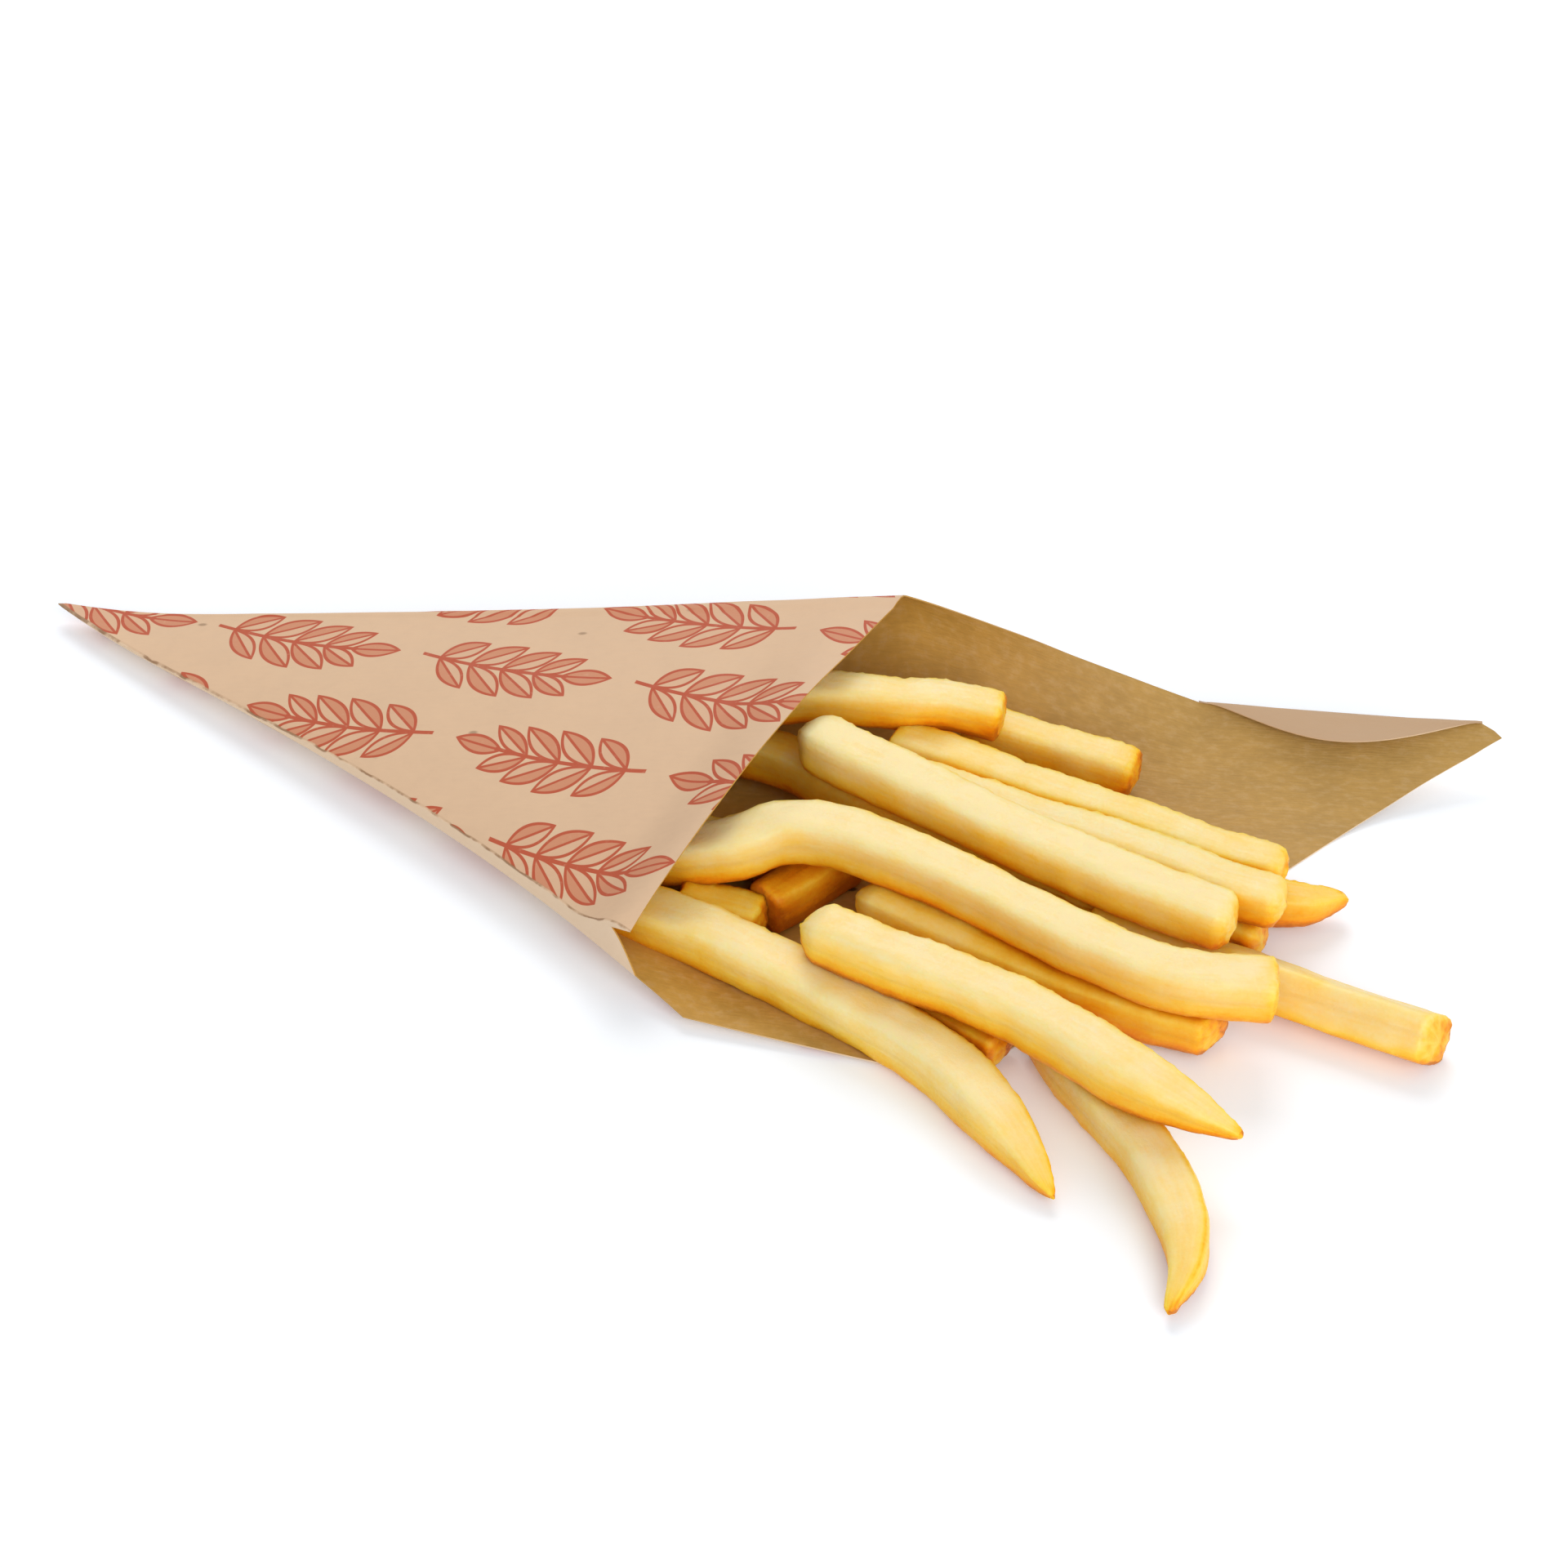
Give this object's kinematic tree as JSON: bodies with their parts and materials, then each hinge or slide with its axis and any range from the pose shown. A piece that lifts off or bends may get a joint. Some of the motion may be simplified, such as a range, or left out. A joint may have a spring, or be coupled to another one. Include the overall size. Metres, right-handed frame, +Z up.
{
  "type": "french fries in a paper cone",
  "caption": "Loose heap of thick-cut fried potato sticks spilling from the mouth of a folded kraft paper cone that lies flat on its side.",
  "frame": {"origin": "middle of the part's footprint, on the surface that it lies on", "axes": "+X from the cone's point towards the mouth and the spilled fries, +Y towards the paper's standing far edge, +Z up"},
  "size_m": [0.2542, 0.1728, 0.0263],
  "materials": {
    "kraft_paper": "uncoated kraft paper, printed outside",
    "fried_potato": "golden fried potato with a slight sheen of oil"
  },
  "bodies": {
    "root": {"paper_cone": "kraft_paper", "fries": "fried_potato"}
  },
  "joints": []
}
